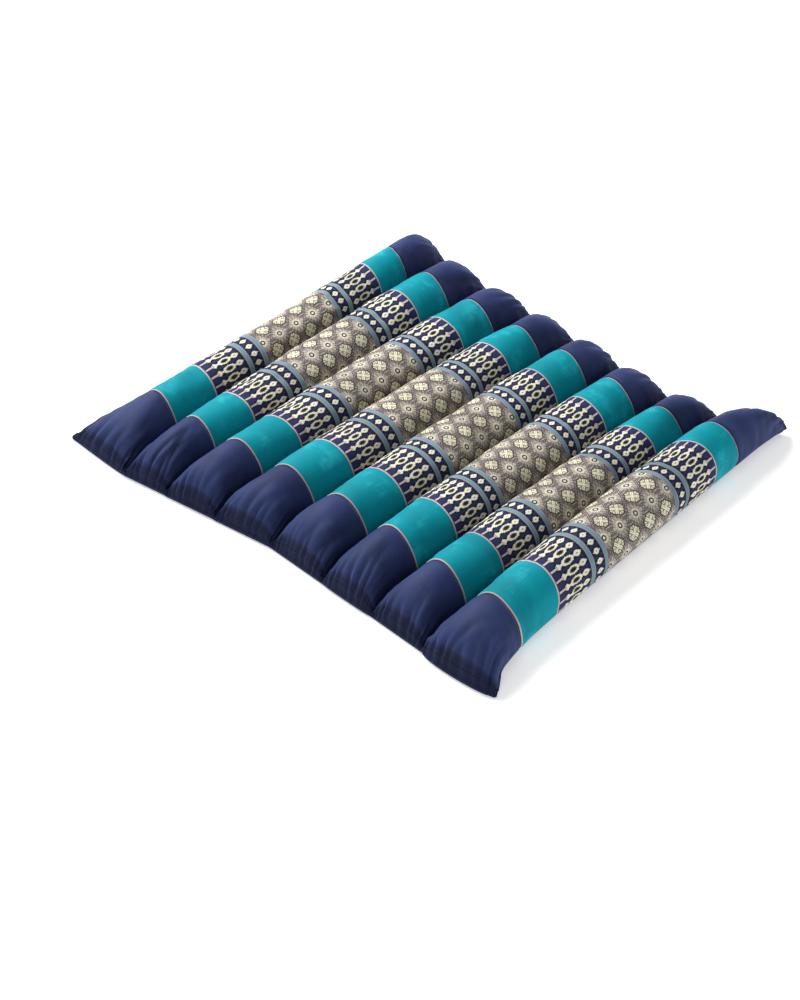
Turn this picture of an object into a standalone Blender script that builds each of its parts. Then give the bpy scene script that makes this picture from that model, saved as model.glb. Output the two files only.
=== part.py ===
"""Flat meditation cushion with eight sewn channels, lying on its back.

One filled solid carries the underside panel. Three thin panels cover its top: a woven one over the middle
and a plain one over each end. X runs across the channels, Y along them from front to back, Z is up.
"""

import bpy
import numpy as np

# Driving dimensions, in metres
SHEET = 0.0010
GAP = 0.0003
LIP_WIDTH = 0.007
LIP_TOP = 0.0055
LIP_UNDER = 0.0015
SEAM_TOP = 0.011
GROOVE_UNDER = 0.004
SLOT_HALF = 0.0040
SLOT_RUN = 0.020
END_TAPER = 0.110
TAPER_DEPTH = 0.06
EAR_RUN = 0.035
FLAT_SHARE = 0.55
CROWN_POWER = 1.35
SIDE_SEAM = 0.015
LEDGE_RISE = 3.0
CENTRE = (0.266, 0.2514)

# Each seam line along the cushion: x at the front and back, then y at the front end,
# at the front panel's seam, at the back panel's seam and at the back end
SEAMS = np.array(
    [
        (0.026, 0.004, 0.013, 0.084, 0.417, 0.484),
        (0.076, 0.050, 0.008, 0.080, 0.409, 0.472),
        (0.127, 0.116, 0.014, 0.080, 0.404, 0.465),
        (0.185, 0.179, 0.021, 0.085, 0.403, 0.463),
        (0.252, 0.239, 0.029, 0.088, 0.404, 0.460),
        (0.321, 0.301, 0.026, 0.089, 0.401, 0.456),
        (0.385, 0.365, 0.024, 0.087, 0.398, 0.453),
        (0.450, 0.418, 0.021, 0.083, 0.404, 0.463),
        (0.516, 0.468, 0.023, 0.078, 0.414, 0.495),
    ]
)
X_FRONT, X_BACK, Y_FRONT, Y_FRONT_PANEL, Y_BACK_PANEL, Y_BACK = SEAMS.T

# How far each corner's tip reaches out past the drawn-in side: left, then right, at the front and the back
LEFT_EARS = (0.030, 0.008)
RIGHT_EARS = (0.020, 0.001)

# Each channel: crown height at the front and back, length of the round that each end falls away in,
# then how far each end's middle bulges
CHANNELS = np.array(
    [
        (0.044, 0.050, 0.045, 0.045, 0.001, 0.001),
        (0.044, 0.050, 0.045, 0.045, 0.000, 0.001),
        (0.046, 0.048, 0.045, 0.045, 0.000, 0.001),
        (0.047, 0.047, 0.045, 0.045, 0.000, 0.001),
        (0.048, 0.047, 0.045, 0.045, 0.000, 0.001),
        (0.048, 0.047, 0.045, 0.045, 0.001, 0.001),
        (0.046, 0.045, 0.045, 0.050, 0.000, 0.001),
        (0.049, 0.051, 0.045, 0.085, 0.006, 0.001),
    ]
)
HEIGHT_FRONT, HEIGHT_BACK, ROUND_FRONT, ROUND_BACK, BULGE_FRONT, BULGE_BACK = CHANNELS.T

# Distances of the cross rows from an end, nearest first, short of the end panel's seam
END_ROWS = np.array([0.0, LIP_WIDTH, 0.0090, 0.0125, 0.0180, 0.0260, 0.0370])
MIDDLE_ROWS = 8
CHANNEL_STEPS = 8

NAVY = (0.026, 0.031, 0.115)
WOVEN = (0.22, 0.26, 0.25)


def smooth(t):
    """Zero to one with level ends."""
    t = np.clip(t, 0.0, 1.0)
    return t * t * (3.0 - 2.0 * t)


def shoulder(t):
    """A quarter round that rises steeply from zero and levels out at one."""
    t = np.clip(t, 0.0, 1.0)
    return np.sqrt(1.0 - (1.0 - t) ** 2)


def between(values, channel, across):
    """A seam value carried across each channel from its left seam to its right one."""
    return values[channel] * (1.0 - across) + values[channel + 1] * across


def ground_plan():
    """Plan of every row and column: x, y, share of the length, distances from both ends, turn and channel.

    The turn goes from 0 to pi round each channel, so the columns crowd towards its seams.
    """
    turn = np.tile(np.linspace(0.0, np.pi, CHANNEL_STEPS + 1), len(CHANNELS))
    channel = np.repeat(np.arange(len(CHANNELS)), CHANNEL_STEPS + 1)
    across = (1.0 - np.cos(turn)) / 2.0
    front = between(Y_FRONT, channel, across) - BULGE_FRONT[channel] * np.sin(turn)
    back = between(Y_BACK, channel, across) + BULGE_BACK[channel] * np.sin(turn)
    middle = np.linspace(0.0, 1.0, MIDDLE_ROWS + 2)[:, None]
    middle_front = between(Y_FRONT_PANEL, channel, across)
    middle_back = between(Y_BACK_PANEL, channel, across)
    y = np.concatenate(
        [
            front + END_ROWS[:, None],
            middle_front * (1.0 - middle) + middle_back * middle,
            back - END_ROWS[::-1, None],
        ]
    )
    from_front = y - front
    from_back = back - y
    share = from_front / (back - front)
    front_ear = np.exp(-from_front / EAR_RUN)
    back_ear = np.exp(-from_back / EAR_RUN)
    left_ear = LEFT_EARS[0] * front_ear + LEFT_EARS[1] * back_ear
    right_ear = RIGHT_EARS[0] * front_ear + RIGHT_EARS[1] * back_ear
    left = X_FRONT[channel] * (1.0 - share) + X_BACK[channel] * share
    right = X_FRONT[channel + 1] * (1.0 - share) + X_BACK[channel + 1] * share
    left = left + np.where(channel > 0, SLOT_HALF, -left_ear)
    right = right - np.where(channel < len(CHANNELS) - 1, SLOT_HALF, -right_ear)
    x = left + (right - left) * across
    return x - CENTRE[0], y - CENTRE[1], share, from_front, from_back, turn, channel


def end_fade(from_front, from_back):
    """One along the cushion, falling to zero at the lip of each end over the slot's run."""
    return smooth((from_front - LIP_WIDTH) / SLOT_RUN) * smooth((from_back - LIP_WIDTH) / SLOT_RUN)


def end_rise(distance, run):
    """Share of the crown's height at a distance from an end: a quarter round, then a slight taper."""
    round_part = shoulder((distance - LIP_WIDTH) / run)
    return round_part * (1.0 - TAPER_DEPTH * (1.0 - smooth(distance / END_TAPER)))


def upper_surface():
    """Outer face of the top panels: rounded crowns between the seam slots, closing to a lip at each end."""
    x, y, share, from_front, from_back, turn, channel = ground_plan()
    crown = HEIGHT_FRONT[channel] * (1.0 - share) + HEIGHT_BACK[channel] * share
    rise = end_rise(from_front, ROUND_FRONT[channel]) * end_rise(from_back, ROUND_BACK[channel])
    crown = LIP_TOP + (crown - LIP_TOP) * rise
    outer_left = (channel == 0) & (turn < np.pi / 2.0)
    outer_right = (channel == len(CHANNELS) - 1) & (turn > np.pi / 2.0)
    outer = outer_left | outer_right
    seam = np.where(outer, SIDE_SEAM, SEAM_TOP)
    seam = LIP_TOP + (seam - LIP_TOP) * end_fade(from_front, from_back)
    seam = np.minimum(seam, crown)
    z = seam + (crown - seam) * np.sin(turn) ** np.where(outer, 1.0, CROWN_POWER)
    return np.stack([x, y, z], axis=-1)


def inset_surface(surface, depth):
    """The surface moved inwards by a depth, square to its faces, with mitred corners."""
    step_along = np.diff(surface, axis=0)
    step_across = np.diff(surface, axis=1)
    normal = np.cross(step_across[:-1] + step_across[1:], step_along[:, :-1] + step_along[:, 1:])
    normal = normal / np.linalg.norm(normal, axis=-1, keepdims=True)
    padded = np.pad(normal, ((1, 1), (1, 1), (0, 0)), mode="edge")
    corners = np.stack([padded[:-1, :-1], padded[:-1, 1:], padded[1:, :-1], padded[1:, 1:]])
    mean = corners.sum(axis=0)
    mean = mean / np.linalg.norm(mean, axis=-1, keepdims=True)
    mitre = np.clip((corners * mean).sum(axis=-1).min(axis=0), 0.5, 1.0)
    return surface - mean * (depth / mitre)[..., None]


def lower_surface(top, outer):
    """Underside: a flat strip under each channel, round flanks up to the grooves, a raised lip at the ends."""
    _, _, _, from_front, from_back, turn, channel = ground_plan()
    fade = end_fade(from_front, from_back)
    groove = LIP_UNDER + (GROOVE_UNDER - LIP_UNDER) * fade
    base = LIP_UNDER * (1.0 - fade)
    ledge = LIP_UNDER + (top[..., 2] - LIP_UNDER) * np.minimum(1.0, LEDGE_RISE * fade)
    left = np.where(channel == 0, ledge[:, :1], groove)
    right = np.where(channel == len(CHANNELS) - 1, ledge[:, -1:], groove)
    side = np.where(turn < np.pi / 2.0, left, right)
    reach = np.clip((1.0 - np.abs(np.cos(turn))) / FLAT_SHARE, 0.0, 1.0)
    flank = 1.0 - np.sqrt(1.0 - (1.0 - reach) ** 2)
    z = base + (side - base) * flank
    return np.stack([outer[..., 0], outer[..., 1], z], axis=-1)


def grid_faces(rows, columns, start=0):
    """Quads of a grid of points, counted row by row, that face up when X runs along the rows."""
    first = start + np.arange(rows - 1)[:, None] * columns + np.arange(columns - 1)
    corners = [first, first + 1, first + columns + 1, first + columns]
    return np.stack(corners, axis=-1).reshape(-1, 4)


def border(rows, columns):
    """Indices round the grid's edge, anticlockwise from above."""
    grid = np.arange(rows * columns).reshape(rows, columns)
    return np.concatenate([grid[0, :-1], grid[:-1, -1], grid[-1, :0:-1], grid[:0:-1, 0]])


def new_object(name, points, faces, material, collection):
    """A mesh object of its own with one material."""
    mesh = bpy.data.meshes.new(name)
    mesh.from_pydata(points.reshape(-1, 3).tolist(), [], faces.tolist())
    mesh.materials.append(material)
    mesh.shade_smooth()
    item = bpy.data.objects.new(name, mesh)
    collection.objects.link(item)
    return item


def filled_body(outer, material, collection):
    """The filled solid: the inset top, the underside and the ledge round their edge."""
    top = inset_surface(outer, SHEET + GAP)
    top[:, (0, -1), 2] -= GAP
    under = lower_surface(top, outer)
    rows, columns = outer.shape[:2]
    size = rows * columns
    ring = border(rows, columns)
    after = np.roll(ring, -1)
    rim = np.stack([ring + size, after + size, after, ring], axis=-1)
    faces = np.concatenate([grid_faces(rows, columns), grid_faces(rows, columns, size)[:, ::-1], rim])
    points = np.concatenate([top.reshape(-1, 3), under.reshape(-1, 3)])
    return new_object("cushion_body", points, faces, material, collection)


def top_panel(name, outer, rows, trims, material, collection):
    """A thin panel over some rows of the top, half a gap short of the row where another panel meets it."""
    inner = inset_surface(outer, SHEET)[rows].copy()
    trim_front, trim_back = trims
    if trim_front:
        run = np.linalg.norm(inner[1] - inner[0], axis=-1, keepdims=True)
        inner[0] += (inner[1] - inner[0]) * (GAP / 2.0 / run)
    if trim_back:
        run = np.linalg.norm(inner[-2] - inner[-1], axis=-1, keepdims=True)
        inner[-1] += (inner[-2] - inner[-1]) * (GAP / 2.0 / run)
    faces = grid_faces(*inner.shape[:2])
    panel = new_object(name, inner, faces, material, collection)
    solidify = panel.modifiers.new("Cloth thickness", "SOLIDIFY")
    solidify.thickness = SHEET
    solidify.offset = 1.0
    solidify.use_even_offset = True
    return panel


def cloth(name, colour, roughness):
    """A plain cloth finish."""
    material = bpy.data.materials.new(name)
    material.use_nodes = True
    shader = material.node_tree.nodes["Principled BSDF"]
    shader.inputs["Base Color"].default_value = (*colour, 1.0)
    shader.inputs["Roughness"].default_value = roughness
    shader.inputs["Metallic"].default_value = 0.0
    return material


def main():
    for item in list(bpy.data.objects):
        bpy.data.objects.remove(item, do_unlink=True)
    collection = bpy.data.collections.new("Flat meditation cushion")
    bpy.context.scene.collection.children.link(collection)
    underside = cloth("Plain navy cloth, underside", NAVY, 0.75)
    ends = cloth("Plain navy cloth, ends", NAVY, 0.6)
    ends_back = cloth("Plain navy cloth, back ends", NAVY, 0.6)
    woven = cloth("Patterned woven cloth", WOVEN, 0.85)

    outer = upper_surface()
    last_front = len(END_ROWS)
    first_back = outer.shape[0] - 1 - len(END_ROWS)
    filled_body(outer, underside, collection)
    front_rows = slice(0, last_front + 1)
    middle_rows = slice(last_front, first_back + 1)
    back_rows = slice(first_back, outer.shape[0])
    top_panel("end_panel_front", outer, front_rows, (False, True), ends, collection)
    top_panel("woven_panel", outer, middle_rows, (True, True), woven, collection)
    top_panel("end_panel_back", outer, back_rows, (True, False), ends_back, collection)


main()
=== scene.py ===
"""Looks of the flat meditation cushion: stuffed channels under one woven panel and two plain end panels.

Lengths are metres, unless a name ends in _MM or a comment says mm. X runs across the channels, Y along
them, and Z is up.
"""

from functools import partialmethod

import bpy
import numpy as np
from mathutils import Matrix, Vector


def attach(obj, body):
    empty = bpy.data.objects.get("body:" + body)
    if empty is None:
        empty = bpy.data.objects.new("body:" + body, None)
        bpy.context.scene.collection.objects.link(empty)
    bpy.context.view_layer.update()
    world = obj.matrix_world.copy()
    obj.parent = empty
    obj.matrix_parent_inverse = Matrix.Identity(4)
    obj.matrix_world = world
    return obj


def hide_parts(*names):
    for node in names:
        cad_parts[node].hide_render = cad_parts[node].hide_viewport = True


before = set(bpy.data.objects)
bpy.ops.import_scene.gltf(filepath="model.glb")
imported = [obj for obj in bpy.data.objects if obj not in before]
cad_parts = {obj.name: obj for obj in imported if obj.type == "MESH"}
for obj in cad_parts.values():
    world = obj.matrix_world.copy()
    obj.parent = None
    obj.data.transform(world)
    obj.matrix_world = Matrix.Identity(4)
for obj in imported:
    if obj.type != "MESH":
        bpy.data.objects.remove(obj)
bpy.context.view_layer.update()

# Sizes shared with the solids
SHEET = 0.0010
GAP = 0.0003
LIP_WIDTH = 0.007
LIP_TOP = 0.0055
LIP_UNDER = 0.0015
SEAM_TOP = 0.011
GROOVE_UNDER = 0.004
SLOT_HALF = 0.0040
SLOT_RUN = 0.020
END_TAPER = 0.110
TAPER_DEPTH = 0.06
EAR_RUN = 0.035
FLAT_SHARE = 0.55
CROWN_POWER = 1.35
SIDE_SEAM = 0.015
LEDGE_RISE = 3.0
CENTRE = (0.266, 0.2514)

# Each seam line along the cushion: x at the front and back, then y at the front end,
# at the front panel's seam, at the back panel's seam and at the back end
SEAMS = np.array(
    [
        (0.026, 0.004, 0.013, 0.084, 0.417, 0.484),
        (0.076, 0.050, 0.008, 0.080, 0.409, 0.472),
        (0.127, 0.116, 0.014, 0.080, 0.404, 0.465),
        (0.185, 0.179, 0.021, 0.085, 0.403, 0.463),
        (0.252, 0.239, 0.029, 0.088, 0.404, 0.460),
        (0.321, 0.301, 0.026, 0.089, 0.401, 0.456),
        (0.385, 0.365, 0.024, 0.087, 0.398, 0.453),
        (0.450, 0.418, 0.021, 0.083, 0.404, 0.463),
        (0.516, 0.468, 0.023, 0.078, 0.414, 0.495),
    ]
)
X_FRONT, X_BACK, Y_FRONT, Y_FRONT_PANEL, Y_BACK_PANEL, Y_BACK = SEAMS.T
LEFT_EARS = (0.030, 0.008)
RIGHT_EARS = (0.020, 0.001)

# Each channel: crown height at the front and back, length of the round that each end falls away in,
# then how far each end's middle bulges
CHANNELS = np.array(
    [
        (0.044, 0.050, 0.045, 0.045, 0.001, 0.001),
        (0.044, 0.050, 0.045, 0.045, 0.000, 0.001),
        (0.046, 0.048, 0.045, 0.045, 0.000, 0.001),
        (0.047, 0.047, 0.045, 0.045, 0.000, 0.001),
        (0.048, 0.047, 0.045, 0.045, 0.000, 0.001),
        (0.048, 0.047, 0.045, 0.045, 0.001, 0.001),
        (0.046, 0.045, 0.045, 0.050, 0.000, 0.001),
        (0.049, 0.051, 0.045, 0.085, 0.006, 0.001),
    ]
)
HEIGHT_FRONT, HEIGHT_BACK, ROUND_FRONT, ROUND_BACK, BULGE_FRONT, BULGE_BACK = CHANNELS.T
LAST = len(CHANNELS) - 1

# The woven cloth on each channel: turn at which a column of cream flowers runs,
# width in mm of the teal band at the front and at the back, and how far in mm its bands bow along the channel
CLOTH = np.array(
    [
        (2.46, 53.4, 40.3, 1.5),
        (2.28, 51.5, 43.8, 2.0),
        (1.83, 51.1, 45.0, 2.0),
        (2.42, 52.0, 45.0, 2.0),
        (1.94, 52.0, 45.0, 2.0),
        (2.44, 52.7, 44.5, 2.0),
        (2.16, 52.0, 45.0, 2.5),
        (1.80, 55.0, 38.7, 6.0),
    ]
)
FLOWER_TURN, TEAL_FRONT_MM, TEAL_BACK_MM, BOW_MM = CLOTH.T

# The woven figure's bands and pitches, in mm of flat cloth
CHAIN_PITCH_MM = 9.5
FLOWER_PITCH_MM = 28.5
FLOWER_STEP_MM = 22.8
FIELD_HALF_MM = 48.0
STRIPE_MM = 6.7
DIAMOND_BAND_MM = 11.8
CHAIN_BAND_MM = 44.0
PALE_LINE_MM = 2.0
TEAL_MM = 52.0
THREAD_MM = 0.475

# The top cloth: its crease over each seam, its joints, the fullness of its ends, the pointed back right tip
# and the rounded edge along both ends
CREASE_TOP = 0.0082
SLOT_POWER = 1.2
SLOT_PINCH = 0.45
SEAM_DIP = 0.0008
SEAM_DIP_WIDTH = 0.0016
END_POWER = 0.80
END_POWER_RUN = 0.055
EAR_ROUND = 0.050
EAR_POWER = 0.70
TIP_LIFT = 0.0045
TIP_RUN = 0.030
TIP_FULL = 0.0022
TIP_FULL_AT = 0.013
TIP_FULL_RUN = 0.012
TIP_SIDE_RUN = 0.050
TIP_SIDE_POWER = 0.8
EDGE_TOP = 0.0024
EDGE_ROUND = 0.0042
EDGE_CREASE = 0.0011
EDGE_CREASE_WIDTH = 0.0014
EDGE_CREASE_AT = 0.0058
RISE_START = 0.0022

# The least height of the top cloth, and of the filling under it as a share of the lip's underside
LEAST_HEIGHT = 0.0010
LEAST_FILLING = 0.4

# The grid: its steps round each crown and along each zone, and the powers that draw its rows to the ends
TURN_STEPS = 64
LIP_STEPS = 5
END_STEPS = 34
MIDDLE_STEPS = 110
LIP_ROW_POWER = 1.5
END_ROW_POWER = 1.25
CREASE_SHARES = np.array([-0.75, -0.5, -0.25, 0.0, 0.25, 0.5, 0.75])

# The cloth turns under the outer sides as far as the turn that this reaches over the underside, and less at
# the ends: the least share of it there, and the share of the end panel that it grows over
WRAP_TURN = 0.62
WRAP_SHARES = np.array([1.0, 0.86, 0.73, 0.60, 0.48, 0.36, 0.24, 0.12])
WRAP_LEAST = 0.10
WRAP_RUN = 0.45


def srgb(red, green, blue):
    """Linear colour from the usual 0 to 255 values."""
    share = np.array([red, green, blue]) / 255.0
    linear = np.where(share <= 0.04045, share / 12.92, ((share + 0.055) / 1.055) ** 2.4)
    return (*linear.tolist(), 1.0)


NAVY = srgb(45, 56, 98)
DARK_GROUND = srgb(32, 31, 55)
BLUE_LOZENGE = srgb(42, 50, 92)
TEAL = srgb(0, 141, 156)
TEAL_PALE = srgb(44, 174, 188)
PALE_PINK = srgb(206, 190, 190)
RED_BROWN = srgb(104, 66, 74)
CREAM = srgb(230, 227, 204)
OLIVE = srgb(120, 118, 66)
TAN = srgb(186, 178, 164)
KHAKI = srgb(146, 136, 126)
PURPLE = srgb(66, 56, 74)
BROWN = srgb(76, 68, 66)
LILAC = srgb(148, 146, 168)
STRIPE_GREY = srgb(112, 146, 150)


# Shape of the cushion

def smooth(t):
    """Zero to one with level ends."""
    t = np.clip(t, 0.0, 1.0)
    return t * t * (3.0 - 2.0 * t)


def shoulder(t):
    """A quarter round that rises steeply from zero and levels out at one."""
    t = np.clip(t, 0.0, 1.0)
    return np.sqrt(1.0 - (1.0 - t) ** 2)


def eased_in(least, distance, run):
    """A share that grows from its least value to one over a run, with level ends."""
    return least + (1.0 - least) * smooth(distance / run)


def share_across(turn):
    """Share of a channel's width at a turn round its crown: half of one less the cosine."""
    return (1.0 - np.cos(turn)) / 2.0


def columns(turn_steps, creases):
    """Every column across the cushion: its channel, its turn from 0 to pi, and its share across a slot.

    Slot columns belong to the channel on their left, with a turn of pi. The share is nan off the slots.
    Columns that lie under the outer sides come first and last, with a turn below 0 or above pi.
    """
    turn = np.linspace(0.0, np.pi, turn_steps + 1)
    per_channel = [(turn, np.full(turn.size, np.nan)), (np.full(creases.size, np.pi), creases)]
    turns = np.concatenate([part[0] for part in per_channel])
    shares = np.concatenate([part[1] for part in per_channel])
    count = len(CHANNELS)
    channel = np.repeat(np.arange(count), turns.size)
    keep = slice(0, channel.size - creases.size)
    wrap = WRAP_SHARES * WRAP_TURN
    none = np.full(wrap.size, np.nan)
    return (
        np.concatenate([np.zeros(wrap.size, int), channel[keep], np.full(wrap.size, LAST)]),
        np.concatenate([-wrap, np.tile(turns, count)[keep], np.pi + wrap[::-1]]),
        np.concatenate([none, np.tile(shares, count)[keep], none]),
    )


def folded_turn(turn, row):
    """The turn whose place in plan each point has.

    Columns that lie under the outer sides are mirrored back at 0 or pi, by a share of their turn that
    shrinks near the ends.
    """
    zone, part = row[0][:, None], row[1][:, None]
    reach = np.select([zone == 2, (zone == 1) | (zone == 3)], [np.ones_like(part), part], 0.0)
    reach = eased_in(WRAP_LEAST, reach, WRAP_RUN)
    below = np.where(turn < 0.0, -turn * reach, turn)
    return np.where(turn > np.pi, np.pi - (turn - np.pi) * reach, below)


def rows(lip_steps, end_steps, middle_steps):
    """Every row from front to back as (zone, share): lip, end and middle, then end and lip again."""
    lip = np.linspace(0.0, 1.0, lip_steps + 1) ** LIP_ROW_POWER
    end = np.linspace(0.0, 1.0, end_steps + 1) ** END_ROW_POWER
    middle = np.linspace(0.0, 1.0, middle_steps + 1)
    zones = [(0, lip[:-1]), (1, end[:-1]), (2, middle), (3, end[:-1][::-1]), (4, lip[:-1][::-1])]
    zone = np.concatenate([np.full(share.size, number) for number, share in zones])
    return zone, np.concatenate([share for _, share in zones])


def seam_value(values, channel, across, slot_share):
    """A seam's value carried across each channel, and held over the slot at the seam itself."""
    inside = values[channel] * (1.0 - across) + values[channel + 1] * across
    return np.where(np.isnan(slot_share), inside, values[channel + 1])


def plan(column, row):
    """Plan of the grid: x, y, share of the length, and the distances from both ends.

    X runs between the channel's seam lines by the share across, less half a slot. Y runs between the ends
    and the panels' seams by each row's share. The outer sides swing out near the ends, exponentially.
    """
    channel, turn, slot_share = column
    turn = folded_turn(turn, row)
    zone, part = row[0][:, None], row[1][:, None]
    across = share_across(turn)
    front = seam_value(Y_FRONT, channel, across, slot_share) - BULGE_FRONT[channel] * np.sin(turn)
    back = seam_value(Y_BACK, channel, across, slot_share) + BULGE_BACK[channel] * np.sin(turn)
    front_seam = seam_value(Y_FRONT_PANEL, channel, across, slot_share)
    back_seam = seam_value(Y_BACK_PANEL, channel, across, slot_share)
    y = np.select(
        [zone == 0, zone == 1, zone == 2, zone == 3],
        [
            front + LIP_WIDTH * part,
            front + LIP_WIDTH + (front_seam - front - LIP_WIDTH) * part,
            front_seam * (1.0 - part) + back_seam * part,
            back - LIP_WIDTH - (back - LIP_WIDTH - back_seam) * part,
        ],
        back - LIP_WIDTH * part,
    )
    from_front = y - front
    from_back = back - y
    share = from_front / (back - front)
    front_ear = np.exp(-from_front / EAR_RUN)
    back_ear = np.exp(-from_back / EAR_RUN)
    left_ear = LEFT_EARS[0] * front_ear + LEFT_EARS[1] * back_ear
    right_ear = RIGHT_EARS[0] * front_ear + RIGHT_EARS[1] * back_ear
    left = X_FRONT[channel] * (1.0 - share) + X_BACK[channel] * share
    right = X_FRONT[channel + 1] * (1.0 - share) + X_BACK[channel + 1] * share
    near_end = 1.0 - smooth(np.minimum(from_front, from_back) / END_POWER_RUN)
    slot_half = SLOT_HALF * (1.0 - SLOT_PINCH * near_end)
    slot_x = right + np.nan_to_num(slot_share) * slot_half
    left = left + np.where(channel > 0, slot_half, -left_ear)
    right = right - np.where(channel < LAST, slot_half, -right_ear)
    x = np.where(np.isnan(slot_share), left + (right - left) * across, slot_x)
    return x - CENTRE[0], y - CENTRE[1], share, from_front, from_back


def end_fade(from_front, from_back):
    """One along the cushion, falling to zero at the lip of each end over the slot's run."""
    return smooth((from_front - LIP_WIDTH) / SLOT_RUN) * smooth((from_back - LIP_WIDTH) / SLOT_RUN)


def end_rise(distance, run):
    """Share of the crown's height at a distance from an end: a quarter round, then a slight taper."""
    round_part = shoulder((distance - RISE_START) / (run + LIP_WIDTH - RISE_START))
    return round_part * (1.0 - TAPER_DEPTH * (1.0 - smooth(distance / END_TAPER)))


def lip_height(from_front, from_back):
    """Height of the sewn lip, which rounds down to its edge over a few millimetres."""
    return EDGE_TOP + (LIP_TOP - EDGE_TOP) * shoulder(np.minimum(from_front, from_back) / EDGE_ROUND)


def tip_lift(column, row):
    """How far the pointed back right corner stands off the floor, a bell over the distance from the back.

    It is multiplied by the cube of the share across the last channel.
    """
    channel, turn, _ = column
    _, _, _, _, from_back = plan(column, row)
    share = np.where(channel == LAST, share_across(folded_turn(turn, row)) ** 3, 0.0)
    return share * TIP_LIFT * np.exp(-((from_back / TIP_RUN) ** 2))


def side_share(column, from_back):
    """Share of the outer side's height: one, but falling to the lip towards the pointed back right corner."""
    channel, _, _ = column
    share = smooth((from_back - LIP_WIDTH / 2.0) / TIP_SIDE_RUN) ** TIP_SIDE_POWER
    return np.where(channel == LAST, share, 1.0)


def top_surface(column, row):
    """Outer face of the top cloth: rounded crowns that meet in a stitched crease over each seam.

    Height over the seam is the crown's height times a power of the sine of the turn, lower near the ends,
    where the channels are fuller. In the slot the cloth dips to the crease with a power of the share.
    """
    channel, turn, slot_share = column
    x, y, share, from_front, from_back = plan(column, row)
    lip = lip_height(from_front, from_back)
    crown = HEIGHT_FRONT[channel] * (1.0 - share) + HEIGHT_BACK[channel] * share
    across = share_across(turn)
    round_front = ROUND_FRONT[channel] + EAR_ROUND * np.where(channel == 0, 1.0 - across, 0.0)
    round_back = ROUND_BACK[channel] - EAR_ROUND * np.where(channel == LAST, across, 0.0)
    rise = end_rise(from_front, round_front) * end_rise(from_back, round_back)
    crown = lip + (crown - lip) * rise
    outer_left = (channel == 0) & (turn < np.pi / 2.0)
    outer_right = (channel == LAST) & (turn > np.pi / 2.0)
    outer = outer_left | outer_right
    fade = end_fade(from_front, from_back)
    side = lip + (SIDE_SEAM - lip) * side_share(column, from_back)
    seam = lip + (np.where(outer, side, SEAM_TOP) - lip) * fade
    seam = np.minimum(seam, crown)
    sine = np.maximum(np.sin(turn), 0.0)
    near_end = 1.0 - smooth(np.minimum(from_front, from_back) / END_POWER_RUN)
    power = np.where(outer, 1.0, CROWN_POWER)
    power = power + (np.where(outer, EAR_POWER, END_POWER) - power) * near_end
    z = seam + (crown - seam) * sine**power
    crease = lip + (CREASE_TOP - lip) * fade
    dip = crease + (seam - crease) * np.abs(np.nan_to_num(slot_share)) ** SLOT_POWER
    z = np.where(np.isnan(slot_share), z, dip)
    fuller = TIP_FULL * across**2 * np.exp(-(((from_back - TIP_FULL_AT) / TIP_FULL_RUN) ** 2))
    z = z + np.where(outer_right, fuller, 0.0) + tip_lift(column, row)
    wrapped = (turn < 0.0) | (turn > np.pi)
    z = np.where(wrapped, np.minimum(underside(column, row), z), z)
    return np.stack([x, y, z], axis=-1)


def underside(column, row):
    """Height of the underside: a flat strip under each channel, round flanks up to the grooves, a raised lip.

    The flank is one less a quarter round of the reach from the groove to the flat strip.
    """
    channel, turn, _ = column
    turn = folded_turn(turn, row)
    _, _, _, from_front, from_back = plan(column, row)
    fade = end_fade(from_front, from_back)
    groove = LIP_UNDER + (GROOVE_UNDER - LIP_UNDER) * fade
    base = LIP_UNDER * (1.0 - fade)
    ledge = (SIDE_SEAM - SHEET - 2.0 * GAP - LIP_UNDER) * np.minimum(1.0, LEDGE_RISE * fade)
    ledge = LIP_UNDER + ledge * side_share(column, from_back)
    left = np.where(channel == 0, ledge, groove)
    right = np.where(channel == LAST, ledge, groove)
    side = np.where(turn < np.pi / 2.0, left, right)
    reach = np.clip((1.0 - np.abs(np.cos(turn))) / FLAT_SHARE, 0.0, 1.0)
    flank = 1.0 - np.sqrt(1.0 - (1.0 - reach) ** 2)
    return base + (side - base) * flank + tip_lift(column, row)


def under_columns(column):
    """The columns of the underside: as many as above, but none under the outer sides."""
    channel, turn, slot_share = column
    turn = turn.copy()
    first = (channel == 0) & np.isnan(slot_share)
    last = channel == LAST
    turn[first] = np.linspace(WRAP_TURN, np.pi, int(first.sum()))
    turn[last] = np.linspace(0.0, np.pi - WRAP_TURN, int(last.sum()))
    return channel, turn, slot_share


def normals(surface):
    """Unit normals of a grid, from the differences along its rows and columns."""
    across = np.gradient(surface, axis=1)
    along = np.gradient(surface, axis=0)
    normal = np.cross(across, along)
    return normal / np.maximum(np.linalg.norm(normal, axis=-1, keepdims=True), 1e-12)


def arc_across(surface, row_number):
    """Distance along one row from the left edge."""
    steps = np.linalg.norm(np.diff(surface[row_number], axis=0), axis=-1)
    return np.concatenate([[0.0], np.cumsum(steps)])


# Puckers and lumps

# Gathers along the closed ends: the ranges that they are drawn from, how far they lean and bend, the share
# of their depth and reach that they start from, and the seeds of the front and back
GATHER_SPACING = (0.0060, 0.0135)
GATHER_DEPTH = (0.0005, 0.0021)
GATHER_REACH = (0.012, 0.044)
GATHER_WIDTH = (0.0013, 0.0026)
GATHER_WIDER_RUN = 0.022
GATHER_LEAN = 0.28
GATHER_BEND = 4.0
GATHER_START = 0.25
GATHER_START_RUN = 0.007
GATHER_SHORTEST = 0.6
GATHER_SEEDS = (21, 22)

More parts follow.
